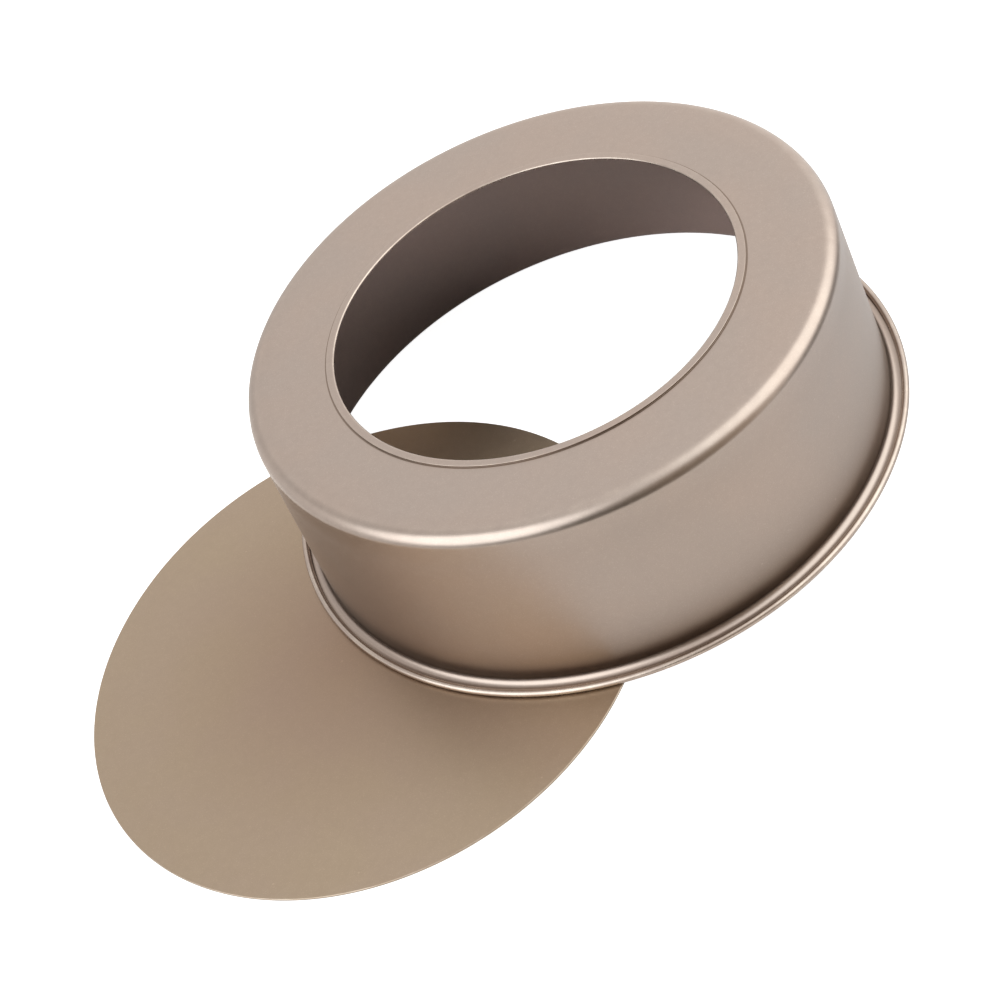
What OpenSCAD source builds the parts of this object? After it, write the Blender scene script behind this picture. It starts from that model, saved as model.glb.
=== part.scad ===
// Round cake pan with a loose bottom, set down as two pieces.
// The ring stands on its rim, mouth down, and one side of the rim lies on the bottom disc.
// Lengths are millimetres and angles are degrees. Both pieces are turned from a profile that is
// drawn the way the pan bakes: height 0 is the face it stands on, and the mouth is at the top.

/* [Ring] */
// Outside diameter of the wall where it leaves the bottom corner
base_d = 203.2; // [170:0.1:320]
// Height of the ring, from the face it stands on to the top of the rim
ring_h = 68.6; // [40:0.1:120]
// Thickness of the ring's steel sheet
sheet_t = 0.6; // [0.4:0.05:0.8]
// Lean of the wall outwards, in degrees
wall_draft = 2.1; // [0.5:0.1:6]
// Outside radius of the corner between ledge and wall
corner_r = 4.6; // [2.5:0.1:8]

/* [Ledge] */
// Width of the ledge, from the outside of the wall in to the hole
ledge_w = 32.4; // [20:0.1:50]
// Width of the strip that is folded back round the hole
hem_w = 2.8; // [2:0.1:5]
// Slot between the folded strip's free edge and the ledge beside it
hem_slot = 0.5; // [0.1:0.05:1]
// Width of the flat foot beside the corner, from which the ledge dips towards the folded strip
foot_w = 5; // [1:0.1:5]

/* [Rim] */
// Width of the rim, from the outside of the wall to the outside of the bead
rim_w = 5.8; // [4.6:0.1:12]
// Outside radius of the bend between wall and rim
rim_bend_r = 2.4; // [1:0.1:2.8]
// Outside diameter of the curled bead
bead_d = 2.4; // [2:0.1:3]
// Slit between the curl's free edge and the rim
curl_slit = 0.3; // [0.1:0.05:0.5]

/* [Loose bottom] */
// Thickness of the bottom disc
disc_t = 0.8; // [0.5:0.05:2]
// Clearance between the disc's edge and the inside of the wall, when it is seated on the ledge
disc_clearance = 1.5; // [0.5:0.1:3]
// Rounding of the disc's two edges
disc_edge_r = 0.25; // [0.05:0.05:1]

/* [Resting place] */
// How far the disc reaches in under the rim
disc_reach = 102.2; // [30:0.1:140]
// Clearance between the rim and the disc that it lies on
rest_clearance = 0.15; // [0.05:0.05:0.5]

/* [Hidden] */
$fn = 180;

ring_color = "#b7a698";
disc_color = "#a8947f";

// Ledge and corner: the bend's centre is its radius in from the wall and up from the ledge's face
base_r = base_d / 2;
hole_r = base_r - ledge_w;
corner_x = base_r - corner_r;
slot_r = hole_r + hem_w;
dip_r = slot_r + hem_slot;
foot_r = corner_x - foot_w;

// Wall: a straight run between the corner's bend and the rim's bend, square to out_dir
out_dir = heading(-wall_draft);
up_dir = heading(90 - wall_draft);
wall_foot = [corner_x, corner_r] + corner_r * out_dir;
rim_bend_z = ring_h - sheet_t - rim_bend_r;
wall_l = (rim_bend_z - wall_foot[1] - rim_bend_r * out_dir[1]) / up_dir[1];
wall_head = wall_foot + wall_l * up_dir;
rim_bend = wall_head + rim_bend_r * out_dir;

// Rim: the flat run ends in a bead, whose curl stops a slit short of the rim's underside
rim_r = wall_head[0] + rim_w;
bead_r = bead_d / 2;
bead_x = rim_r - bead_r;
curl_end = asin((bead_r - sheet_t - curl_slit) / bead_r);

// Bottom disc, sized to drop down inside the wall on to the ledge. Each edge's rounding may take
// up to a share of the disc's thickness.
disc_r = base_r - sheet_t - disc_clearance;
most_edge_share = 0.49;
disc_round_r = min(disc_edge_r, most_edge_share * disc_t);

// Resting place: the rim touches down at its far side and where it crosses the disc's edge
centre_gap = rim_r + disc_r - disc_reach;
crossing_x = (pow(bead_x, 2) - pow(disc_r, 2) + pow(centre_gap, 2)) / (2 * centre_gap);
ring_tilt = asin((disc_t + rest_clearance) / (bead_x + crossing_x));
ring_x = (centre_gap + disc_r - rim_r) / 2;
disc_x = ring_x - centre_gap;

// A unit step in the direction at an angle from the horizontal
function heading(angle) = [cos(angle), sin(angle)];

// All that lies inside a face of the sheet: the outer face at an inset of 0, the inner face at
// the sheet's thickness. The rim's flat run is part of it, and so is the ledge, up to the axis.
// From its flat foot the ledge dips by one sheet's thickness, so the folded strip lies level.
module inside_face(inset) {
    difference() {
        union() {
            translate([corner_x, corner_r]) circle(r = corner_r - inset);
            polygon([
                [0, sheet_t + inset],
                [dip_r, sheet_t + inset],
                [foot_r, inset],
                [corner_x, inset],
                [corner_x, corner_r],
                wall_foot - inset * out_dir,
                wall_head - inset * out_dir,
                rim_bend,
                [rim_bend[0], ring_h - (sheet_t - inset)],
                [bead_x, ring_h - (sheet_t - inset)],
                [bead_x, ring_h + inset],
                [0, ring_h + inset]
            ]);
        }
        translate(rim_bend) circle(r = rim_bend_r + inset);
    }
}

// Ledge, wall and flat rim: what lies between the two faces, open at the hole
module sheet_profile() {
    difference() {
        inside_face(0);
        inside_face(sheet_t);
        square([hole_r + sheet_t, ring_h / 2]);
    }
}

// The strip folded back flat round the hole, level with the foot's outer face
module hem_profile() {
    translate([hole_r + sheet_t, sheet_t]) circle(r = sheet_t);
    translate([hole_r + sheet_t, 0]) square([hem_w - sheet_t, 2 * sheet_t]);
}

// The bead: the rim's sheet curled round until its free edge nears the rim again
module curl_profile() {
    translate([bead_x, ring_h - bead_r]) difference() {
        circle(r = bead_r);
        circle(r = bead_r - sheet_t);
        polygon([
            [0, 0],
            2 * bead_r * [-cos(curl_end), sin(curl_end)],
            [-2 * bead_r, bead_r - sheet_t],
            [0, bead_r - sheet_t]
        ]);
    }
}

// One drawn sheet, set mouth down and tipped about the rim's far side
module pan_ring() {
    color(ring_color)
    translate([ring_x + bead_x, 0, bead_r])
    rotate([0, ring_tilt, 0])
    translate([-bead_x, 0, ring_h - bead_r])
    mirror([0, 0, 1])
    rotate_extrude() {
        sheet_profile();
        hem_profile();
        curl_profile();
    }
}

// The disc lies flat on the table
module loose_bottom() {
    color(disc_color)
    translate([disc_x, 0, 0])
    rotate_extrude() {
        square([disc_r - disc_round_r, disc_t]);
        translate([0, disc_round_r]) square([disc_r, disc_t - 2 * disc_round_r]);
        for (z = [disc_round_r, disc_t - disc_round_r])
            translate([disc_r - disc_round_r, z]) circle(r = disc_round_r);
    }
}

pan_ring();
loose_bottom();
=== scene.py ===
"""Round cake pan with a loose bottom, dressed for a studio picture.

The ring and its loose bottom are turned surfaces in a champagne non-stick coat. Both are built
from the same sizes as the solids that they stand for, and lie in the same place.
"""

import math

import bpy
import numpy as np
from bpy.props import FloatProperty, FloatVectorProperty, IntProperty, PointerProperty
from mathutils import Matrix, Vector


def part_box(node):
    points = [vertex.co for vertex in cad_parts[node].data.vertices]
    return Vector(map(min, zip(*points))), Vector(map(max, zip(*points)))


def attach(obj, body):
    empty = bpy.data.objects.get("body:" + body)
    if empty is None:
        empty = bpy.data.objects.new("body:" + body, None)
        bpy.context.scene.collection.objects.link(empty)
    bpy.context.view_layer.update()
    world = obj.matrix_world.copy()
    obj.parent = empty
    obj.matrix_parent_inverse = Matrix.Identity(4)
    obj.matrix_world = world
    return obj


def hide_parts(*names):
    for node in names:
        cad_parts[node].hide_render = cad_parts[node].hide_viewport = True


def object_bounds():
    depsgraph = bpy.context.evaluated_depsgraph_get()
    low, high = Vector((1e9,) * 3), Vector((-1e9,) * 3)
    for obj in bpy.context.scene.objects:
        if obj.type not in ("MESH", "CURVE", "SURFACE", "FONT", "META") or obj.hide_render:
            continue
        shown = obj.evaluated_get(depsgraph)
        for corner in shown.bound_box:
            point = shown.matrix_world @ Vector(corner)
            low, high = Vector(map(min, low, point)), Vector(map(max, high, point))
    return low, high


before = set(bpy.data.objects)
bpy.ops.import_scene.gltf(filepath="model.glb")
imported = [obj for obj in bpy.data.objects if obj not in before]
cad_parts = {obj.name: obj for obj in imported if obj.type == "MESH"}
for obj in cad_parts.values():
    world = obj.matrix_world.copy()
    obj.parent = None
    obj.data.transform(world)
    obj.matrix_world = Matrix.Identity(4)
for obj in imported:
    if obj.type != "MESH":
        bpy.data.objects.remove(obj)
SOLIDS_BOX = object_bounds()
RING_LOW, RING_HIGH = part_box("pan_ring")
DISC_LOW, DISC_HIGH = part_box("loose_bottom")

bl_info = {
    "name": "Round cake pan",
    "version": (1, 0, 0),
    "blender": (4, 5, 0),
    "location": "View3D > Sidebar > Cake pan",
    "description": "Turns a cake pan's ring and loose bottom and lights them on a pale floor",
    "category": "Add Mesh",
}

MM = 0.001
WHITE = (1.0, 1.0, 1.0, 1.0)

# The solids that the surfaces stand for: their radii, and where their axes meet the table
RIM_R = (RING_HIGH.y - RING_LOW.y) / 2
RING_X = SOLIDS_BOX[1].x - RIM_R
DISC_R = (DISC_HIGH.y - DISC_LOW.y) / 2
DISC_X = (DISC_HIGH.x + DISC_LOW.x) / 2
# Clearance between the rim and the disc that it lies on
REST_CLEARANCE = 0.15 * MM


def length(label, about, millimetres):
    """A length property, stored in metres, whose default is given in millimetres."""
    return FloatProperty(
        name=label,
        description=about,
        default=millimetres * MM,
        min=0.0,
        unit="LENGTH",
        subtype="DISTANCE",
        precision=5,
    )


def tone(label, about, rgb):
    """A linear colour property."""
    return FloatVectorProperty(
        name=label, description=about, default=rgb, min=0.0, max=1.0, size=3, subtype="COLOR"
    )


def share(label, about, value, top=1.0):
    """A plain number property from 0 to top."""
    return FloatProperty(name=label, description=about, default=value, min=0.0, max=top)


class RingSizes(bpy.types.PropertyGroup):
    """Sizes of the drawn ring, the way it bakes: it stands on its ledge, with its mouth up."""

    base_d: length("Base diameter", "Outside of the wall where it leaves the corner", 203.2)
    height: length("Height", "From the face it stands on to the top of the rim", 68.6)
    sheet: length("Sheet", "Thickness of the steel sheet", 0.6)
    draft: FloatProperty(
        name="Wall draft",
        description="Lean of the wall outwards",
        default=math.radians(2.1),
        subtype="ANGLE",
        unit="ROTATION",
    )
    corner_r: length("Corner radius", "Outside radius between ledge and wall", 4.6)
    ledge_w: length("Ledge width", "From the outside of the wall in to the hole", 32.4)
    hem_w: length("Hem width", "Strip folded back round the hole", 2.8)
    hem_slot: length("Hem slot", "Gap between the strip's free edge and the ledge", 0.5)
    foot_w: length("Foot width", "Flat foot by the corner, from which the ledge dips", 5.0)
    rim_w: length("Rim width", "From the outside of the wall to the outside of the bead", 5.8)
    rim_bend_r: length("Rim bend radius", "Outside radius between wall and rim", 2.4)
    bead_d: length("Bead diameter", "Outside of the curled edge", 2.4)
    curl_slit: length("Curl slit", "Between the curl's free edge and the rim", 0.3)
    edge_r: length("Cut edge radius", "Rounding of the hem's cut edge", 0.12)
    dip_bend_r: length("Dip bend radius", "Bends at the two ends of the ledge's dip", 30.0)
    # Painted shade: how far the shade painted into the coat reaches up the wall from the rim
    shade_height: length("Crease height", "Reach of the darker coat up the wall from the rim", 8.5)
    # Painted shade: its reach round the curl's slit, which also places a point of the rim's
    # outline
    groove_r: length("Groove radius", "Reach of the darker coat round the curl's slit", 0.5)
    waviness: length("Waviness", "How far the drawn sheet strays from a true surface", 0.035)
    segments: IntProperty(
        name="Segments", description="Steps round the ring", default=240, min=24
    )


class DiscSizes(bpy.types.PropertyGroup):
    """Sizes of the loose bottom."""

    diameter: length("Diameter", "Outside of the disc", 2 * DISC_R / MM)
    thickness: length("Thickness", "Thickness of the disc", DISC_HIGH.z / MM)
    edge_r: length("Edge radius", "Rounding of the disc's two edges", 0.25)
    # Painted shade: how far the ring's shade, painted into the disc's coat, reaches from the
    # middle
    middle_r: length("Middle radius", "Reach of the darker coat from the middle", 82.0)
    waviness: length("Waviness", "How far the disc's face strays from a true plane", 0.02)
    segments: IntProperty(
        name="Segments", description="Steps round the disc", default=300, min=24
    )


class CoatLooks(bpy.types.PropertyGroup):
    """Colours and texture of the non-stick coat."""

    ring_tone: tone("Ring tone", "Coat of the ring", (0.415, 0.337, 0.293))
    ring_cool: tone("Ring second tone", "Where the ring's coat is thinner", (0.40, 0.334, 0.296))
    disc_tone: tone("Disc tone", "Coat of the loose bottom", (0.385, 0.301, 0.220))
    disc_cool: tone("Disc second tone", "Where the disc's coat is thinner", (0.382, 0.297, 0.225))
    worn: tone("Worn tone", "Coat rubbed thin along the edges", (0.62, 0.54, 0.47))
    # Painted shade: the ring's coat takes this tone above the rim, on the rim's flat run, at the
    # curl's slit and at the hem's step
    painted_shade: tone("Crease", "What is left of the coat in a crease", (0.41, 0.36, 0.31))
    # Painted shade: the disc's coat takes this tone at its middle, where the ring stands over it
    middle: tone("Middle", "What is left of the disc's coat at its middle", (0.79, 0.71, 0.70))
    ring_roughness: share("Ring roughness", "Gloss of the ring: 0 is a mirror", 0.32)
    wall_roughness: share("Wall roughness", "Gloss of the ring's drawn wall", 0.38)
    disc_roughness: share("Disc roughness", "Gloss of the loose bottom: 0 is a mirror", 0.40)
    grain: share("Grain", "Strength of the fine metallic grain", 0.11)
    specks: share("Specks", "How much brighter the few raised specks are", 0.16)
    sparkle: share("Sparkle", "Strength of the brightest flakes", 0.35)


class StageLooks(bpy.types.PropertyGroup):
    """Floor and light."""

    floor_tone: tone("Floor tone", "Pale matt floor", (0.5, 0.5, 0.5))
    floor_glow: share("Floor glow", "How far the floor is lifted towards white", 0.9)
    near_bounce: tone("Near bounce", "Floor in front as the coat mirrors it", (0.78, 0.75, 0.725))
    right_bounce: tone("Right bounce", "Floor on the right", (0.705, 0.72, 0.745))
    inner_bounce: tone("Inner bounce", "Floor inside the ring", (0.76, 0.69, 0.72))
    within: share("Within", "Share of the bounce inside the ring, at its darkest", 0.36)
    within_from: length("Within from", "Radius at which the outer floor starts to show", 100)
    within_to: length("Within to", "Radius from which the floor's bounce is full", 113)
    fade_from: length("Fade from", "Radius at which the mirrored floor starts to fade", 190)
    fade_to: length("Fade to", "Radius from which the surround is mirrored instead", 280)
    surround: share("Surround", "Light from every side", 0.90, 10.0)
    rightward: share("Rightward", "How much brighter the right side is", 0.48, 10.0)
    upward: share("Upward", "How much brighter the ceiling is", 0.15, 10.0)
    left: share("Left panel", "Soft panel on the left, in front", 2.3, 20.0)
    right: share("Right panel", "Soft panel on the right, in front", 1.18, 20.0)
    surround_tint: tone("Surround tint", "Colour of the surround", (1.0, 0.975, 0.945))
    near_tint: tone("Near tint", "Colour of the light from behind the camera", (1.0, 0.82, 0.64))
    left_tint: tone("Left tint", "Colour of the left panel", (0.93, 0.985, 1.0))
    right_tint: tone("Right tint", "Colour of the right panel", (0.93, 1.0, 0.98))
    near_side: share("Near side", "Light from behind the camera", 0.33, 10.0)
    right_low: share("Right side, low", "How much light is missing low on the right", 0.95, 10.0)
    left_low: share("Left side, low", "How much light is added low on the left", 0.4, 10.0)


# Largest step of an arc, and how far from a point of an outline its guard point stands
ARC_STEP = math.radians(6)
GUARD = 0.12 * MM


def turn_in_plane(angle):
    """A unit step in the profile's plane at an angle from the horizontal."""
    return np.array([math.cos(angle), math.sin(angle)])


def crossing(p, along, z):
    """Where the line through p with the direction along reaches the height z."""
    return p + along * (z - p[1]) / along[1]


def rounded(corners):
    """A closed outline from (x, z, radius) corners, as an array of points.

    Each corner with a radius becomes an arc that touches both of its sides: the arc's centre
    stands radius / sin(half the corner's angle) along the bisector, and its ends stand
    radius / tan(half the angle) along the sides.
    """
    c = np.array(corners, float)
    p, before, after = c[:, :2], np.roll(c[:, :2], 1, 0), np.roll(c[:, :2], -1, 0)
    out = []
    for here, prev, following, r in zip(p, before, after, c[:, 2]):
        if r == 0:
            out.append(here[None])
            continue
        u = (prev - here) / np.linalg.norm(prev - here)
        v = (following - here) / np.linalg.norm(following - here)
        half = math.acos(np.clip(u @ v, -1, 1)) / 2
        bisector = (u + v) / np.linalg.norm(u + v)
        centre = here + bisector * r / math.sin(half)
        start = here + u * r / math.tan(half) - centre
        end = here + v * r / math.tan(half) - centre
        a0, a1 = math.atan2(start[1], start[0]), math.atan2(end[1], end[0])
        sweep = (a1 - a0 + math.pi) % (2 * math.pi) - math.pi
        a = a0 + sweep * np.linspace(0, 1, max(3, math.ceil(abs(sweep) / ARC_STEP) + 1))
        out.append(centre + r * np.stack([np.cos(a), np.sin(a)], 1))
    return np.concatenate(out)


def with_guards(outline, longest, closed=True):
    """The outline with a guard point beside each of its points, and no step above longest.

    Only a side longer than three guards gets them. Length along the outline is the parameter,
    and both coordinates are read off it in a straight line between the outline's own points, so
    the shape stays as it is.
    """
    p = np.concatenate([outline, outline[:1]]) if closed else outline
    s = np.concatenate([[0], np.cumsum(np.linalg.norm(np.diff(p, axis=0), axis=1))])
    roomy = np.diff(s) > 3 * GUARD
    near = np.concatenate([s[:-1][roomy] + GUARD, s[1:][roomy] - GUARD])
    steps = [
        np.linspace(a, b, math.ceil((b - a) / longest) + 1)[1:-1]
        for a, b in zip(s[:-1], s[1:])
        if b - a > longest
    ]
    same = GUARD / 20
    wanted = np.sort(np.concatenate([s, near, *steps]))
    wanted = wanted[np.concatenate([[True], np.diff(wanted) > same])]
    if closed:
        wanted = wanted[wanted < s[-1] - same]
    return np.stack([np.interp(wanted, s, p[:, 0]), np.interp(wanted, s, p[:, 1])], 1)


def edge_wear(outline, closed=True, full_at=1.2 * MM):
    """How exposed each point of an outline is, from 0 on a flat or hollow to 1 on a tight edge.

    The turn between the two sides at a point, over their mean length, is the curvature; it
    counts where the outline turns outwards, and reaches 1 at a bend radius of full_at.
    """
    back = outline - np.roll(outline, 1, 0)
    ahead = np.roll(outline, -1, 0) - outline
    cross = back[:, 0] * ahead[:, 1] - back[:, 1] * ahead[:, 0]
    lengths = np.linalg.norm(back, axis=1) + np.linalg.norm(ahead, axis=1)
    turn = np.arctan2(cross, (back * ahead).sum(1))
    area = 0.5 * np.sum(
        outline[:, 0] * np.roll(outline[:, 1], -1) - np.roll(outline[:, 0], -1) * outline[:, 1]
    )
    curvature = turn / np.maximum(lengths / 2, 1e-9) * np.sign(area)
    worn = np.clip(curvature * full_at, 0, 1)
    if not closed:
        worn[[0, -1]] = 0
    return (np.roll(worn, 1) + 2 * worn + np.roll(worn, -1)) / 4


def turned_grid(outline, segments, closed=True):
    """Points and four-sided faces of an outline turned about the Z axis.

    The point for outline place i and step k is (x cos a, x sin a, z) at a = 2 pi k / segments. A
    closed outline joins its last place to its first. An open one starts and ends on the axis,
    and each end is one point with a fan of triangles round it.
    """
    a = 2 * math.pi * np.arange(segments) / segments
    body = outline if closed else outline[1:-1]
    x, z = body[:, 0][:, None], body[:, 1][:, None]
    grid = np.stack([x * np.cos(a), x * np.sin(a), z + 0 * a], 2)
    n = len(body)
    i, k = np.meshgrid(np.arange(n if closed else n - 1), np.arange(segments), indexing="ij")
    j, m = (i + 1) % n, (k + 1) % segments
    quads = np.stack([i * segments + k, i * segments + m, j * segments + m, j * segments + k], 2)
    points, fans = grid.reshape(-1, 3), np.zeros((0, 3), int)
    if not closed:
        ends = np.array([[0, 0, outline[0, 1]], [0, 0, outline[-1, 1]]])
        points = np.concatenate([points, ends])
        step = np.arange(segments)
        on = (step + 1) % segments
        first, last = n * segments, n * segments + 1
        bottom = np.stack([np.full(segments, first), on, step], 1)
        row = (n - 1) * segments
        top = np.stack([np.full(segments, last), row + step, row + on], 1)
        fans = np.concatenate([bottom, top])
    return points, quads.reshape(-1, 4), fans


def wavy(points, normal_weights, amplitude, turns, seed):
    """Points shifted by a sum of long sine waves round the axis.

    Each wave is sin(turns * angle + height * pitch + radius * lean + phase), its phase, pitch
    and lean drawn from the seed, and the sum is scaled to the amplitude. A point's weight is the
    share that it takes radially. The rest it takes along Z.
    """
    rng = np.random.default_rng(seed)
    angle = np.arctan2(points[:, 1], points[:, 0])
    radius = np.hypot(points[:, 0], points[:, 1])
    total = np.zeros(len(points))
    for n in turns:
        phase, pitch, lean = rng.uniform(0, 2 * math.pi), rng.uniform(20, 60), rng.uniform(20, 60)
        total += np.sin(n * angle + points[:, 2] * pitch + radius * lean + phase) / len(turns)
    out = points.copy()
    scale = 1 + amplitude * total * normal_weights / np.maximum(radius, 1e-6)
    out[:, 0] *= scale
    out[:, 1] *= scale
    out[:, 2] += amplitude * total * (1 - normal_weights)
    return out


def make_piece(name, points, quads, fans, wear, painted_shade, material):
    """A smooth mesh object at the origin from arrays, its faces pointing outwards.

    The signed volume of the faces, the sum of a . (b x c) / 6 over their triangles, tells
    whether they have to be turned over.
    """
    triangles = np.concatenate([quads[:, [0, 1, 2]], quads[:, [0, 2, 3]], fans])
    a, b, c = (points[triangles[:, n]] for n in range(3))
    if np.einsum("ij,ij->i", a, np.cross(b, c)).sum() < 0:
        quads, fans = quads[:, ::-1], fans[:, ::-1]
    mesh = bpy.data.meshes.new(name)
    mesh.vertices.add(len(points))
    mesh.vertices.foreach_set("co", points.astype(np.float32).ravel())
    loops = np.concatenate([quads.ravel(), fans.ravel()])
    totals = np.concatenate([np.full(len(quads), 4), np.full(len(fans), 3)])
    mesh.loops.add(len(loops))
    mesh.loops.foreach_set("vertex_index", loops.astype(np.int32))
    mesh.polygons.add(len(totals))
    starts = np.concatenate([[0], np.cumsum(totals)[:-1]])
    mesh.polygons.foreach_set("loop_start", starts.astype(np.int32))
    mesh.update(calc_edges=True)
    mesh.polygons.foreach_set("use_smooth", np.ones(len(totals), bool))
    # The second attribute is the painted shade: how far the coat is darkened where shade falls
    for key, values in (("edge_wear", wear), ("painted_shade", painted_shade)):
        layer = mesh.attributes.new(key, "FLOAT", "POINT")
        layer.data.foreach_set("value", values.astype(np.float32))
    if mesh.validate():
        raise RuntimeError(f"{name}: the mesh had bad faces")
    mesh.materials.append(material)
    piece = bpy.data.objects.new(name, mesh)
    bpy.context.scene.collection.objects.link(piece)
    return piece


class Wiring:
    """Adds nodes to one node tree and joins them."""

    def __init__(self, tree):
        self.tree = tree
        self.x = 0

    def add(self, kind, settings=None, **inputs):
        """A node of that kind, with settings set and inputs joined or filled.

        Inputs go by name, or by place as n0, n1 and so on.
        """
        node = self.tree.nodes.new(kind)
        self.x += 180
        node.location = (self.x, 0)
        for key, value in (settings or {}).items():
            setattr(node, key, value)
        for key, value in inputs.items():
            socket = node.inputs[int(key[1:]) if key[0] == "n" and key[1:].isdigit() else key]
            if isinstance(value, bpy.types.NodeSocket):
                self.tree.links.new(value, socket)
            else:
                socket.default_value = value
        return node

    def math(self, operation, a, b, c=0.0):
        """One number from two or three numbers."""
        made = self.add("ShaderNodeMath", {"operation": operation}, n0=a, n1=b, n2=c)
        return made.outputs[0]

    def ramp(self, value, low, high, to_low=0.0, to_high=1.0, smooth=True):
        """Value from low..high to to_low..to_high, held at both ends."""
        kind = "SMOOTHSTEP" if smooth else "LINEAR"
        made = self.add(
            "ShaderNodeMapRange", {"interpolation_type": kind}, n0=value, n1=low, n2=high,
            n3=to_low, n4=to_high,
        )
        return made.outputs[0]

    def mix(self, factor, a, b):
        """A colour between a and b."""
        made = self.add("ShaderNodeMix", {"data_type": "RGBA"}, n0=factor, n6=a, n7=b)
        return made.outputs[2]

    def measure(self, operation, a, b):
        """One number from two vectors."""
        made = self.add("ShaderNodeVectorMath", {"operation": operation}, n0=a, n1=b)
        return made.outputs["Value"]

    def noise(self, where, per_metre, detail):
        """Noise from 0 to 1 with that many cells per metre and levels of detail."""
        made = self.add("ShaderNodeTexNoise", Vector=where, Scale=per_metre, Detail=detail)
        return made.outputs["Fac"]


def rgba(colour):
    """A colour property as four numbers."""
    return (*colour, 1.0)


# Textures of the coat: cells per metre, and each noise's levels of detail
CLOUDS, MOTTLE, GRAIN = (26.0, 3.0), (420.0, 2.0), (3600.0, 1.0)
PATCHES, PEEL = (160.0, 3.0), (900.0, 2.0)
FLAKES, SPECKS = 4200.0, 150.0
# Values of the clouds between which the second tone comes in, and of the patches between which
# an edge is rubbed from the least to the whole of its wear
CLOUD_RANGE, PATCH_RANGE, LEAST_PATCH = (0.3, 0.7), (0.35, 0.75), 0.25
# How much of the worn tone a fully worn edge takes
MOST_WORN = 0.5
# The brightest flakes, and the cells that hold a speck, as values from 0 to 1
BRIGHT_RANGE, SPECK_RANGE = (0.86, 1.0), (0.72, 0.74)
# A speck's reach from its cell's middle: the least, and how much more the largest have
SPECK_LEAST, SPECK_MORE = 0.02, 0.045
# Share by which the mottle changes the brightness, and by which the brightest flake adds to it
MOTTLE_LIFT, FLAKE_LIFT = 0.09, 0.3
# What mottle, clouds and rubbing do to the roughness
MOTTLE_GLOSS, CLOUD_GLOSS, RUBBED_GLOSS = 0.08, 0.06, -0.12
# Heights above the table between which the drawn wall's own roughness comes in and goes out
WALL_IN, WALL_OUT = (10 * MM, 16 * MM), (56 * MM, 63 * MM)
# Depth and strength of the coat's peel and of its grain, in which flakes count by half
PEEL_DEPTH, PEEL_STRENGTH = 0.02 * MM, 0.35
GRAIN_DEPTH, GRAIN_STRENGTH, FLAKE_HEIGHT = 0.006 * MM, 0.5, 0.5


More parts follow.
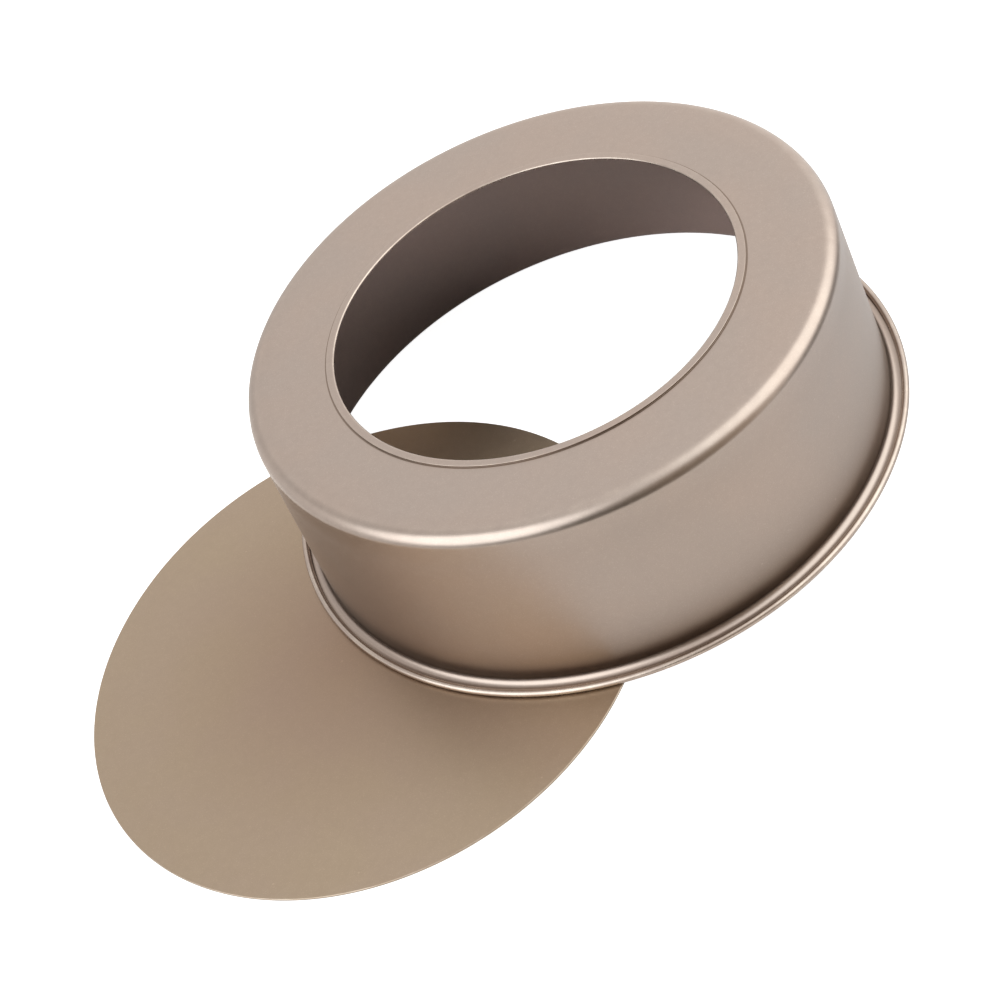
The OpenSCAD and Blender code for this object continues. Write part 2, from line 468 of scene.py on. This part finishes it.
def non_stick_coat(name, main, second, shade_tone, roughness, wall, looks):
    """Champagne non-stick coat: satin metal with clouds, a fine grain, flakes and rubbed edges.

    Brightness is 1 plus the shares of mottle, grain, flakes and specks. The coat's tone, mixed
    with the worn tone by edge_wear and multiplied by the painted shade's tone where the mesh's
    painted shade is 1, is scaled by it.
    Roughness is the one given plus the shares of mottle, clouds and rubbing, and on the drawn
    wall it is greater by the argument wall.
    """
    material = bpy.data.materials.new(name)
    material.use_nodes = True
    tree = material.node_tree
    tree.nodes.clear()
    w = Wiring(tree)
    where = w.add("ShaderNodeTexCoord").outputs["Object"]
    clouds = w.noise(where, *CLOUDS)
    mottle = w.noise(where, *MOTTLE)
    grain = w.noise(where, *GRAIN)
    flakes = w.add("ShaderNodeTexVoronoi", Vector=where, Scale=FLAKES)
    flake = w.add("ShaderNodeSeparateColor", Color=flakes.outputs["Color"]).outputs[0]
    bright_flake = w.ramp(flake, *BRIGHT_RANGE)

    coat = w.mix(w.ramp(clouds, *CLOUD_RANGE), rgba(main), rgba(second))
    lift = w.math("MULTIPLY_ADD", mottle, MOTTLE_LIFT, 1 - MOTTLE_LIFT / 2)
    lift = w.math("MULTIPLY_ADD", w.math("SUBTRACT", grain, 0.5), looks.grain, lift)
    lift = w.math("MULTIPLY_ADD", bright_flake, looks.sparkle * FLAKE_LIFT, lift)
    spots = w.add("ShaderNodeTexVoronoi", Vector=where, Scale=SPECKS)
    kind = w.add("ShaderNodeSeparateColor", Color=spots.outputs["Color"])
    few = w.ramp(kind.outputs[0], *SPECK_RANGE)
    reach = w.math("MULTIPLY_ADD", kind.outputs[1], SPECK_MORE, SPECK_LEAST)
    speck = w.math("LESS_THAN", spots.outputs["Distance"], reach)
    speck = w.math("MULTIPLY", speck, few)
    lift = w.math("MULTIPLY_ADD", speck, looks.specks, lift)
    worn = w.add("ShaderNodeAttribute", {"attribute_name": "edge_wear"}).outputs["Fac"]
    patches = w.ramp(w.noise(where, *PATCHES), *PATCH_RANGE, LEAST_PATCH, 1.0)
    rubbed = w.math("MULTIPLY", w.math("MULTIPLY", worn, patches), MOST_WORN)
    coat = w.mix(rubbed, coat, rgba(looks.worn))
    # Painted shade: where the mesh's painted shade attribute is 1, the coat is multiplied by the
    # shade tone
    painted_shade = w.add("ShaderNodeAttribute", {"attribute_name": "painted_shade"}).outputs["Fac"]
    shade_factor = w.mix(painted_shade, WHITE, rgba(shade_tone))
    coat = w.add("ShaderNodeVectorMath", {"operation": "MULTIPLY"}, n0=coat, n1=shade_factor)
    lifted = w.add("ShaderNodeVectorMath", {"operation": "SCALE"}, n0=coat.outputs[0], Scale=lift)

    gloss = w.math("MULTIPLY_ADD", w.math("SUBTRACT", mottle, 0.5), MOTTLE_GLOSS, roughness)
    gloss = w.math("MULTIPLY_ADD", w.math("SUBTRACT", clouds, 0.5), CLOUD_GLOSS, gloss)
    gloss = w.math("MULTIPLY_ADD", rubbed, RUBBED_GLOSS, gloss)
    z = w.add("ShaderNodeSeparateXYZ", Vector=where).outputs["Z"]
    on_wall = w.math("MULTIPLY", w.ramp(z, *WALL_IN), w.ramp(z, *WALL_OUT, 1.0, 0.0))
    gloss = w.math("MULTIPLY_ADD", on_wall, wall, gloss)

    peel = w.add(
        "ShaderNodeBump", Strength=PEEL_STRENGTH, Distance=PEEL_DEPTH,
        Height=w.noise(where, *PEEL),
    )
    height = w.math("MULTIPLY_ADD", flake, FLAKE_HEIGHT, grain)
    fine = w.add(
        "ShaderNodeBump", Strength=GRAIN_STRENGTH, Distance=GRAIN_DEPTH, Height=height,
        Normal=peel.outputs[0],
    )
    shader = w.add("ShaderNodeBsdfPrincipled", Metallic=1.0, Roughness=gloss)
    # The plain tone stays in the socket for viewers that don't follow its nodes
    shader.inputs["Base Color"].default_value = rgba(main)
    tree.links.new(lifted.outputs[0], shader.inputs["Base Color"])
    tree.links.new(fine.outputs[0], shader.inputs["Normal"])
    end = w.add("ShaderNodeOutputMaterial")
    tree.links.new(shader.outputs[0], end.inputs["Surface"])
    return material


# Points along each of the curl's two faces, and the longest step along the outlines
CURL_POINTS = 46
RING_STEP, DISC_STEP = 2 * MM, 8 * MM
# The hem's fold is as round as two sheets allow, less a little for its two arcs to meet in
FOLD_SHARE = 0.98
# Beside the hem's slot the ledge's outer face has room only for a tighter bend
SLOT_BEND_SHARE = 0.3
# A point of the outline on the rim's flat run, for the painted shade at the groove to fade
# along: how far it stands from the bead, as a share of the groove's radius
GROOVE_POINT_SHARE = 0.6
# How deep the painted shade is at the hem's step and on the rim's flat run, from 0 to 1
HEM_DEPTH, FLAT_DEPTH = 0.75, 0.12
# How steeply the wall's painted shade thins out, and how far the groove's is full round the slit
WALL_FALL, GROOVE_FULL = 2.4, 0.3
# Long waves round each piece, and the seeds of their phases
RING_WAVES, RING_SEED = (2, 3, 5), 4
DISC_WAVES, DISC_SEED = (2, 3), 9


def ring_outline(s):
    """The sheet's closed outline, upright: x from the axis, z up from the face it stands on.

    Straight sides meet in arcs. The outer face and the inner face run a sheet's thickness
    apart, the bead is two arcs about one centre, and the hem is the sheet folded back flat. The
    ledge dips by one sheet's thickness from its foot to the hem, so that the hem lies level.
    Returns the outline, the depth of the painted shade at each point, and the bead's centre.
    """
    base_r, t = s.base_d / 2, s.sheet
    hole_r = base_r - s.ledge_w
    slot_r = hole_r + s.hem_w
    dip_r, foot_r = slot_r + s.hem_slot, base_r - s.corner_r - s.foot_w
    out, up = turn_in_plane(-s.draft), turn_in_plane(math.pi / 2 - s.draft)
    corner = np.array([base_r - s.corner_r, s.corner_r])
    foot = corner + s.corner_r * out
    inner_foot = corner + (s.corner_r - t) * out
    bend_z = s.height - t - s.rim_bend_r
    head = foot + up * (bend_z - foot[1] - s.rim_bend_r * out[1]) / up[1]
    bead_r = s.bead_d / 2
    bead = np.array([head[0] + s.rim_w - bead_r, s.height - bead_r])
    curl_end = math.pi + math.asin((bead_r - t - s.curl_slit) / bead_r)
    a = np.linspace(math.pi / 2, -curl_end, CURL_POINTS)
    circle = np.stack([np.cos(a), np.sin(a), 0 * a], 1)
    hub = np.array([*bead, 0])
    corners = np.concatenate(
        [
            [[slot_r, t, 0], [slot_r, 0, s.edge_r], [hole_r, 0, FOLD_SHARE * t]],
            [[hole_r, 2 * t, FOLD_SHARE * t]],
            [[dip_r, 2 * t, s.dip_bend_r], [foot_r, t, s.dip_bend_r]],
            [[*crossing(inner_foot, up, t), s.corner_r - t]],
            [[*crossing(inner_foot, up, s.height), s.rim_bend_r + t]],
            circle * [bead_r, bead_r, 0] + hub,
            circle[::-1] * [bead_r - t, bead_r - t, 0] + hub,
            [[bead[0] - bead_r - GROOVE_POINT_SHARE * s.groove_r, s.height - t, 0]],
            [[*crossing(foot, up, s.height - t), s.rim_bend_r]],
            [[*crossing(foot, up, 0), s.corner_r]],
            [[foot_r, 0, s.dip_bend_r], [dip_r, t, SLOT_BEND_SHARE * s.dip_bend_r]],
        ]
    )
    outline = with_guards(rounded(corners), RING_STEP)
    rim = rim_shade(outline, foot, head, out, bead[0], s)
    return outline, np.maximum(rim, hem_shade(outline, slot_r, dip_r, t)), bead


def hem_shade(outline, slot_r, dip_r, t):
    """How deep the painted shade in the step at the hem's free edge is at each point of the
    outline.

    It is HEM_DEPTH at the points in the slot, more than 0.3 of the sheet's thickness above the
    face that the ring stands on, and 0 elsewhere.
    """
    x, z = outline.T
    in_slot = (x > slot_r - 0.05 * t) & (x < dip_r + 0.02 * t) & (z < 1.05 * t) & (z > 0.3 * t)
    return HEM_DEPTH * in_slot


def rim_shade(outline, foot, head, out, bead_x, s):
    """How deep the painted shade between the wall and the rim is at each point of the outline.

    On the outer face it is 1 / (1 + (d / h) ** WALL_FALL), with d the height left up to the bend
    and h the painted shade's height, and it drops to 0 over the first fifth of the bend. On the
    rim's flat run it is FLAT_DEPTH. Round the mouth of the curl's slit it is 1 within the share
    GROOVE_FULL of the groove radius, and falls to 0 over one groove radius more.
    """
    off_wall = (outline - foot) @ out
    on_face = (off_wall > -0.3 * s.sheet) & (off_wall < 0.3 * s.rim_bend_r)
    below = np.maximum(head[1] - outline[:, 1], 0)
    past = np.maximum(outline[:, 1] - head[1], 0)
    depth = 1 / (1 + (below / s.shade_height) ** WALL_FALL)
    wall = depth * on_face * np.clip(1 - 5 * past / s.rim_bend_r, 0, 1)
    x, z = outline.T
    face, slit_x = s.height - s.sheet, bead_x - s.bead_d / 2
    flat = (np.abs(z - face) < 0.5 * s.curl_slit) & (x > head[0]) & (x < bead_x)
    from_slit = np.hypot(x - slit_x, z - face + s.curl_slit / 2)
    groove = np.clip(1 + GROOVE_FULL - from_slit / s.groove_r, 0, 1)
    return np.maximum(np.maximum(wall, FLAT_DEPTH * flat), groove)


def set_down(points, s, bead):
    """Upright points turned mouth down and tipped about the rim's far side.

    Height z becomes the ring's height less z. The tilt's sine is the disc's thickness and the
    clearance over the distance from the far bead to where the rim crosses the disc's edge.
    """
    gap = RING_X - DISC_X
    across = (bead[0] ** 2 - DISC_R**2 + gap**2) / (2 * gap)
    tilt = math.asin((DISC_HIGH.z + REST_CLEARANCE) / (bead[0] + across))
    pivot = np.array([bead[0], 0, s.height - bead[1]])
    moved = points * [1, 1, -1] + [0, 0, s.height] - pivot
    turn = np.array(Matrix.Rotation(tilt, 3, "Y"))
    return moved @ turn.T + pivot + [RING_X, 0, 0]


class CAKEPAN_OT_ring(bpy.types.Operator):
    """Turn the ring from its sheet's outline and set it mouth down"""

    bl_idname = "cakepan.ring"
    bl_label = "Make the ring"

    def execute(self, context):
        s, looks = context.scene.cakepan_ring, context.scene.cakepan_coat
        outline, painted_shade, bead = ring_outline(s)
        points, quads, fans = turned_grid(outline, s.segments)
        wall_share = np.repeat(np.clip(outline[:, 1] / s.corner_r, 0, 1), s.segments)
        points = wavy(points, wall_share, s.waviness, RING_WAVES, RING_SEED)
        wear = np.repeat(edge_wear(outline), s.segments)
        coat = non_stick_coat(
            "ring_coat", looks.ring_tone, looks.ring_cool, looks.painted_shade, looks.ring_roughness,
            looks.wall_roughness - looks.ring_roughness, looks,
        )
        # Painted shade above the rim, on its flat run, at the curl's slit and at the hem's step
        painted_shade = np.repeat(painted_shade, s.segments)
        ring = make_piece("ring", set_down(points, s, bead), quads, fans, wear, painted_shade, coat)
        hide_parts("pan_ring")
        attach(ring, "ring")
        return {"FINISHED"}


class CAKEPAN_OT_loose_bottom(bpy.types.Operator):
    """Turn the loose bottom and lay it flat"""

    bl_idname = "cakepan.loose_bottom"
    bl_label = "Make the loose bottom"

    def execute(self, context):
        s, looks = context.scene.cakepan_disc, context.scene.cakepan_coat
        r, t = s.diameter / 2, s.thickness
        side = rounded([[0, 0, 0], [r, 0, s.edge_r], [r, t, s.edge_r], [0, t, 0]])
        outline = with_guards(side, DISC_STEP, closed=False)
        points, quads, fans = turned_grid(outline, s.segments, closed=False)
        # Only the top waves, a little below the solid's face. The waves fade out over the outer
        # eighth, and over the inner third, where they would meet in a dimple.
        outward = np.hypot(points[:, 0], points[:, 1])
        off_edge = np.clip(8 * (1 - outward / r), 0, 1) * (points[:, 2] > t / 2)
        calm_middle = np.clip(3 * outward / r, 0, 1) ** 2
        waved = wavy(points, np.zeros(len(points)), s.waviness, DISC_WAVES, DISC_SEED)
        lift = (waved[:, 2] - points[:, 2]) * calm_middle
        points[:, 2] += (lift - s.waviness) * off_edge
        wear = np.repeat(edge_wear(outline, closed=False, full_at=0.5 * MM)[1:-1], s.segments)
        wear = np.concatenate([wear, [0, 0]])
        # Painted shade of the ring, deepest at the disc's middle and gone at the middle radius
        middle = np.clip(1 - outward / s.middle_r, 0, 1)
        points[:, 0] += DISC_X
        coat = non_stick_coat(
            "disc_coat", looks.disc_tone, looks.disc_cool, looks.middle, looks.disc_roughness,
            0.0, looks,
        )
        disc = make_piece("loose_disc", points, quads, fans, wear, middle, coat)
        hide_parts("loose_bottom")
        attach(disc, "bottom")
        return {"FINISHED"}


def heading(azimuth, elevation):
    """A unit vector. Azimuth 0 is +Y and 90 is +X, in degrees."""
    a, e = math.radians(azimuth), math.radians(elevation)
    return (math.sin(a) * math.cos(e), math.cos(a) * math.cos(e), math.sin(e))


# Round soft patches of the surround: azimuth and elevation of the middle, then how far from it
# the patch is full and where it ends, in degrees
NEAR_SIDE = (186, 0, 24, 50)
RIGHT_LOW = (108, -24, 20, 38)
LEFT_LOW = (-60, -12, 20, 60)
LEFT_PANEL = (-104, 30, 21, 43)
RIGHT_PANEL = (114, 44, 24, 44)


def patch(w, direction, place, strength):
    """A round soft patch of the surround: strength inside its core, fading to 0 at its rim."""
    azimuth, elevation, core, rim = place
    dot = w.measure("DOT_PRODUCT", direction, heading(azimuth, elevation))
    low, high = math.cos(math.radians(rim)), math.cos(math.radians(core))
    return w.ramp(dot, low, high, 0.0, strength)


def light_surround(world, looks):
    """A soft surround with panels, and a plain white backdrop where it is seen directly.

    The surround is one level plus a share of the direction to the right and up, and gives way to
    the near side's level and tint there. The low patches are taken off or added, and the panels
    come on top, each in its own tint.
    """
    world.use_nodes = True
    tree = world.node_tree
    tree.nodes.clear()
    w = Wiring(tree)
    direction = w.add("ShaderNodeTexCoord").outputs["Generated"]
    tilted = w.measure("DOT_PRODUCT", direction, (looks.rightward, 0.0, looks.upward))
    near = patch(w, direction, NEAR_SIDE, 1.0)
    around = w.math("ADD", tilted, looks.surround)
    around = w.math("MULTIPLY_ADD", near, looks.near_side - looks.surround, around)
    around_tint = w.mix(near, rgba(looks.surround_tint), rgba(looks.near_tint))
    around = w.math("SUBTRACT", around, patch(w, direction, RIGHT_LOW, looks.right_low))
    around = w.math("ADD", around, patch(w, direction, LEFT_LOW, looks.left_low))
    lights = (
        (around, around_tint),
        (patch(w, direction, LEFT_PANEL, looks.left), rgba(looks.left_tint)),
        (patch(w, direction, RIGHT_PANEL, looks.right), rgba(looks.right_tint)),
    )
    lit = None
    for strength, tint in lights:
        light = w.add("ShaderNodeBackground", Strength=strength, Color=tint).outputs[0]
        if lit:
            light = w.add("ShaderNodeAddShader", n0=lit, n1=light).outputs[0]
        lit = light
    seen = w.add("ShaderNodeBackground", Strength=1.0, Color=WHITE)
    camera_ray = w.add("ShaderNodeLightPath").outputs["Is Camera Ray"]
    both = w.add("ShaderNodeMixShader", n0=camera_ray, n1=lit, n2=seen.outputs[0])
    end = w.add("ShaderNodeOutputWorld")
    tree.links.new(both.outputs[0], end.inputs["Surface"])


# Half the floor's width in metres, and its height
FLOOR_SPAN, FLOOR_HEIGHT = 6.0, -0.05 * MM
# The floor's fine unevenness: cells per metre with levels of detail, depth and strength
FLOOR_NOISE, FLOOR_DEPTH, FLOOR_STRENGTH = (700.0, 2.0), 0.05 * MM, 0.1
# Distances from the ring's axis, along X, between which the right side's bounce comes in
RIGHT_FROM, RIGHT_TO = -50 * MM, 160 * MM
# The same along X less Y for the shade inside the ring, and the bounce where it has ended
SHADE_FROM, SHADE_TO, SHADE_END = -80 * MM, 40 * MM, 1.1


def floor_material(looks):
    """Pale matt floor, plain where it is seen directly, with painted shade where the coat mirrors
    it.

    The coat mirrors a floor that is darker inside the ring, most on its left, pale outside it,
    and open past the fade, where the surround takes over. It is also open seen from below and
    under the loose bottom, so that the underside is lit.
    """
    material = bpy.data.materials.new("floor")
    material.use_nodes = True
    tree = material.node_tree
    tree.nodes.clear()
    w = Wiring(tree)
    where = w.add("ShaderNodeTexCoord").outputs["Object"]
    bump = w.add(
        "ShaderNodeBump", Strength=FLOOR_STRENGTH, Distance=FLOOR_DEPTH,
        Height=w.noise(where, *FLOOR_NOISE),
    )
    from_axis = w.measure("DISTANCE", where, (RING_X, 0.0, 0.0))
    camera_ray = w.add("ShaderNodeLightPath").outputs["Is Camera Ray"]
    below = w.add("ShaderNodeNewGeometry").outputs["Backfacing"]

    across = w.measure("DOT_PRODUCT", where, (1.0, -1.0, 0.0))
    along = w.add("ShaderNodeSeparateXYZ", Vector=where).outputs["X"]
    rightness = w.ramp(along, RING_X + RIGHT_FROM, RING_X + RIGHT_TO)
    within = w.ramp(
        across, RING_X + SHADE_FROM, RING_X + SHADE_TO, looks.within, SHADE_END, smooth=False
    )
    outside = w.ramp(from_axis, looks.within_from, looks.within_to)
    outer = w.mix(rightness, rgba(looks.near_bounce), rgba(looks.right_bounce))
    outer = w.mix(outside, rgba(looks.inner_bounce), outer)
    bounce = w.math("MULTIPLY_ADD", outside, w.math("SUBTRACT", 1.0, within), within)
    shaded = w.add("ShaderNodeVectorMath", {"operation": "SCALE"}, n0=outer, Scale=bounce)
    colour = w.mix(camera_ray, shaded.outputs[0], rgba(looks.floor_tone))
    matt = w.add("ShaderNodeBsdfDiffuse", Color=colour, Normal=bump.outputs[0])
    glow = w.add("ShaderNodeEmission", Strength=w.math("MULTIPLY", camera_ray, looks.floor_glow))
    surface = w.add("ShaderNodeAddShader", n0=matt.outputs[0], n1=glow.outputs[0])

    faded = w.ramp(from_axis, looks.fade_from, looks.fade_to)
    faded = w.math("MULTIPLY", faded, w.math("SUBTRACT", 1.0, camera_ray))
    from_disc = w.measure("DISTANCE", where, (DISC_X, 0.0, 0.0))
    under_disc = w.math("LESS_THAN", from_disc, DISC_R)
    open_share = w.math("MAXIMUM", w.math("MAXIMUM", faded, below), under_disc)
    clear = w.add("ShaderNodeBsdfTransparent")
    both = w.add(
        "ShaderNodeMixShader", n0=open_share, n1=surface.outputs[0], n2=clear.outputs[0]
    )
    end = w.add("ShaderNodeOutputMaterial")
    tree.links.new(both.outputs[0], end.inputs["Surface"])
    return material


# The camera, fitted to the outlines of the ledge, the hole, the rim and the disc: its place and
# its three axes in metres, its lens and sensor in millimetres, and the depths that it sees
CAMERA_PLACE = (-0.16687629, -0.51934141, 0.51819587)
CAMERA_RIGHT = (0.73884214, -0.58202968, -0.33963767)
CAMERA_UPWARD = (0.63211170, 0.42390901, 0.64864162)
CAMERA_BACK = (-0.23355320, -0.69393271, 0.68110961)
CAMERA_LENS, CAMERA_SENSOR = 79.16, 36.0
CAMERA_NEAREST, CAMERA_FARTHEST = 0.01, 50.0


class CAKEPAN_OT_stage(bpy.types.Operator):
    """Lay a pale floor and set the light and the camera"""

    bl_idname = "cakepan.stage"
    bl_label = "Set the stage"

    def execute(self, context):
        looks = context.scene.cakepan_stage
        mesh = bpy.data.meshes.new("floor")
        square = np.array([[-1, -1], [1, -1], [1, 1], [-1, 1]]) * FLOOR_SPAN
        mesh.from_pydata(np.insert(square, 2, FLOOR_HEIGHT, 1).tolist(), [], [(0, 1, 2, 3)])
        mesh.materials.append(floor_material(looks))
        floor = bpy.data.objects.new("floor", mesh)
        context.scene.collection.objects.link(floor)

        world = bpy.data.worlds.new("studio")
        context.scene.world = world
        light_surround(world, looks)

        data = bpy.data.cameras.new("camera")
        data.lens, data.sensor_width = CAMERA_LENS, CAMERA_SENSOR
        data.clip_start, data.clip_end = CAMERA_NEAREST, CAMERA_FARTHEST
        camera = bpy.data.objects.new("camera", data)
        turn = Matrix((CAMERA_RIGHT, CAMERA_UPWARD, CAMERA_BACK)).transposed().to_4x4()
        camera.matrix_world = Matrix.Translation(CAMERA_PLACE) @ turn
        context.scene.collection.objects.link(camera)
        context.scene.camera = camera
        context.scene.view_settings.view_transform = "Standard"
        return {"FINISHED"}


class CAKEPAN_PT_panel(bpy.types.Panel):
    """Sizes, colours and buttons for the cake pan"""

    bl_idname = "CAKEPAN_PT_panel"
    bl_label = "Cake pan"
    bl_space_type = "VIEW_3D"
    bl_region_type = "UI"
    bl_category = "Cake pan"

    def draw(self, context):
        parts = (
            ("cakepan.ring", "cakepan_ring"),
            ("cakepan.loose_bottom", "cakepan_disc"),
            ("", "cakepan_coat"),
            ("cakepan.stage", "cakepan_stage"),
        )
        for operator, group in parts:
            box = self.layout.box()
            values = getattr(context.scene, group)
            for key in values.__annotations__:
                box.prop(values, key)
            if operator:
                box.operator(operator)


GROUPS = {
    "cakepan_ring": RingSizes,
    "cakepan_disc": DiscSizes,
    "cakepan_coat": CoatLooks,
    "cakepan_stage": StageLooks,
}
CLASSES = (
    *GROUPS.values(),
    CAKEPAN_OT_ring,
    CAKEPAN_OT_loose_bottom,
    CAKEPAN_OT_stage,
    CAKEPAN_PT_panel,
)


def register():
    """Register the classes and the scene's values."""
    for made in CLASSES:
        bpy.utils.register_class(made)
    for key, group in GROUPS.items():
        setattr(bpy.types.Scene, key, PointerProperty(type=group))


def unregister():
    """Take the scene's values and the classes away again."""
    for key in GROUPS:
        delattr(bpy.types.Scene, key)
    for made in reversed(CLASSES):
        bpy.utils.unregister_class(made)


def main():
    """Build the pieces and the stage."""
    register()
    bpy.ops.cakepan.ring()
    bpy.ops.cakepan.loose_bottom()
    bpy.ops.cakepan.stage()
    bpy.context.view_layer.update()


if __name__ == "__main__":
    main()
